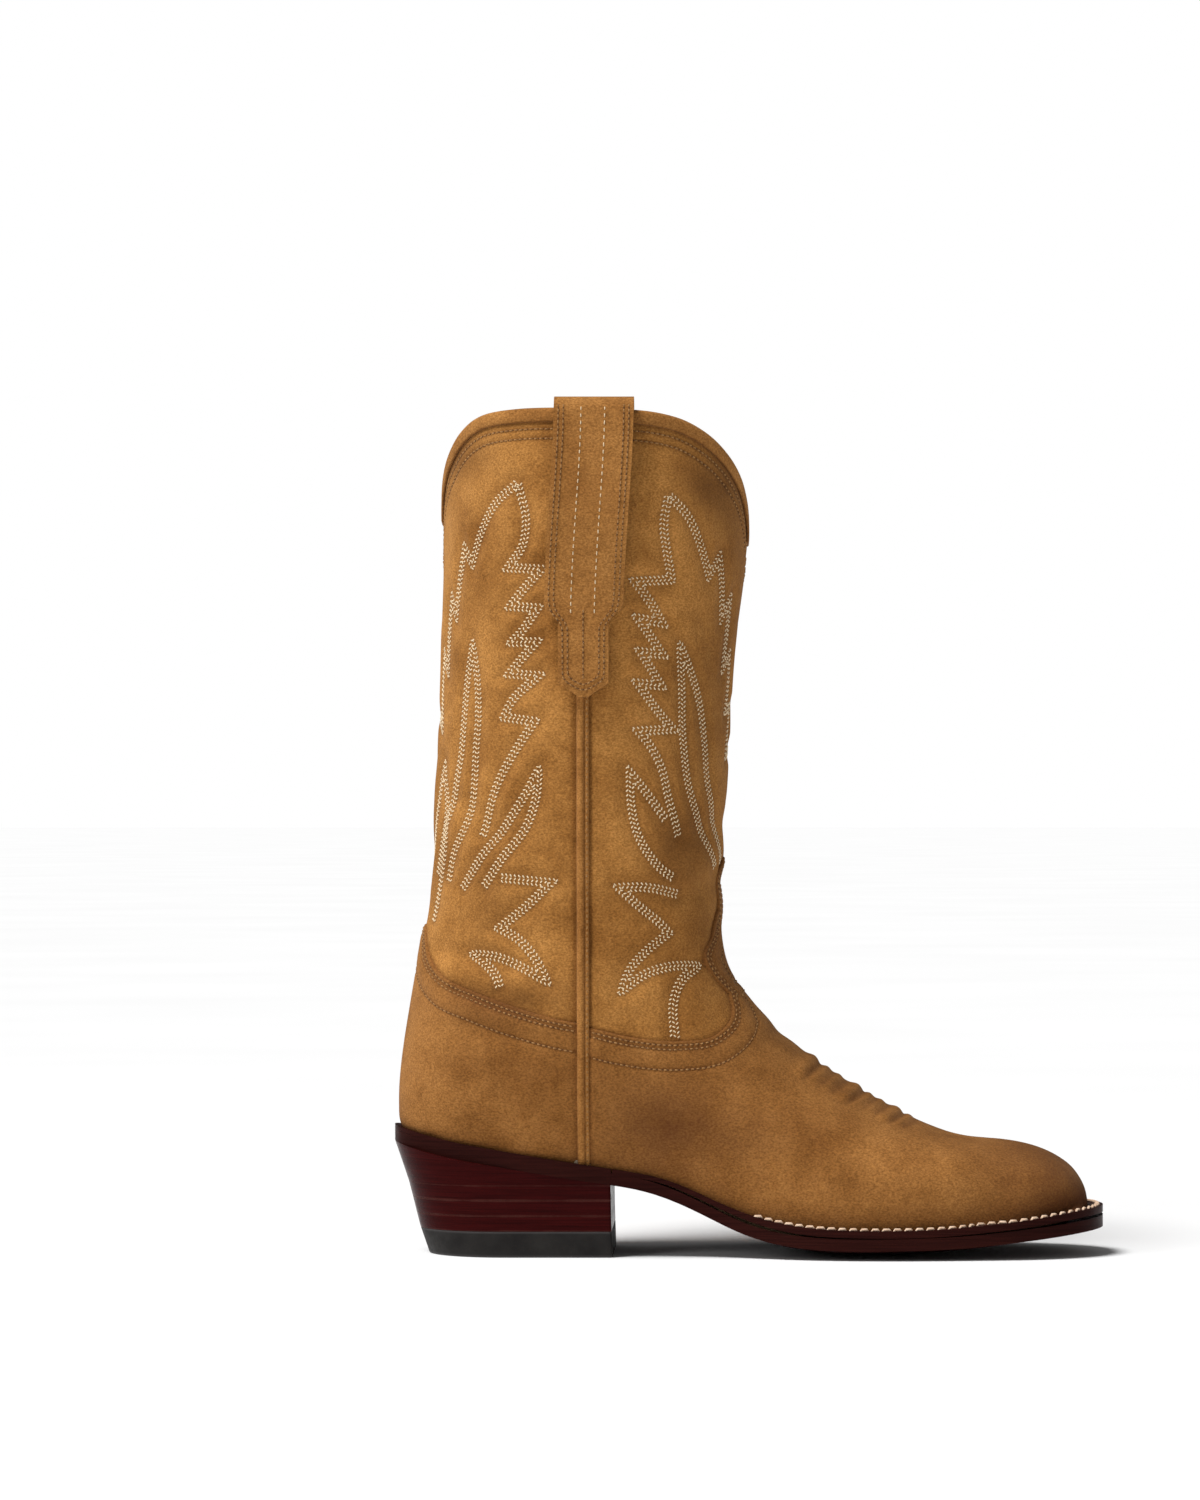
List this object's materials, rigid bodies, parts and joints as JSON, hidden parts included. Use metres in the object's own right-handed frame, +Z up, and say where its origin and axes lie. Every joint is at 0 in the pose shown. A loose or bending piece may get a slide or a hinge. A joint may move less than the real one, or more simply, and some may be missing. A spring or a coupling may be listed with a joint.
{
  "type": "cowboy boot",
  "caption": "Pull-on western boot: scalloped stitched shaft, looped pull straps, rounded square toe, underslung stacked heel.",
  "frame": {"origin": "on the ground, in the middle of the whole boot's box", "axes": "+X to the toe, +Y to the outer side of this left boot, +Z up"},
  "size_m": [0.2999, 0.1378, 0.3583],
  "materials": {
    "vamp_suede": "short-napped suede, burnished darker on the toe",
    "shaft_suede": "short-napped suede with cream stitching",
    "binding_suede": "rolled suede",
    "piping_suede": "folded suede",
    "strap_suede": "doubled suede",
    "lining": "smooth lining leather",
    "stiffener_board": "pressed leather board",
    "interlining": "woven backing",
    "insole_leather": "vegetable-tanned",
    "sock_leather": "smooth",
    "welt_leather": "dark burgundy, polished edge",
    "sole_leather": "polished burgundy edge, black waist",
    "stack_leather": "polished burgundy layers",
    "cap_rubber": "matte black",
    "steel": "plain",
    "lemonwood": "plain",
    "cork": "pressed cork"
  },
  "bodies": {
    "root": {"vamp": "vamp_suede", "heel_counter": "vamp_suede", "shaft_front_panel": "shaft_suede", "shaft_back_panel": "shaft_suede", "toe_box": "stiffener_board", "vamp_interlining": "interlining", "heel_stiffener": "stiffener_board", "shaft_front_lining": "lining", "shaft_back_lining": "lining", "vamp_lining": "lining", "counter_lining": "lining", "top_binding_front": "binding_suede", "top_binding_back": "binding_suede", "side_welt_inner": "piping_suede", "side_welt_outer": "piping_suede", "pull_strap_inner": "strap_suede", "pull_strap_outer": "strap_suede", "heel_nails": "steel", "cap_nails": "steel", "shank_pegs": "lemonwood", "insole": "insole_leather", "sock_liner": "sock_leather", "welt": "welt_leather", "heel_rand": "welt_leather", "insole_rib": "insole_leather", "shank": "steel", "bottom_filler": "cork", "outsole": "sole_leather", "heel_cap": "cap_rubber", "heel_lift_1": "stack_leather", "heel_lift_2": "stack_leather", "heel_lift_3": "stack_leather", "heel_wedge": "stack_leather"}
  },
  "joints": []
}
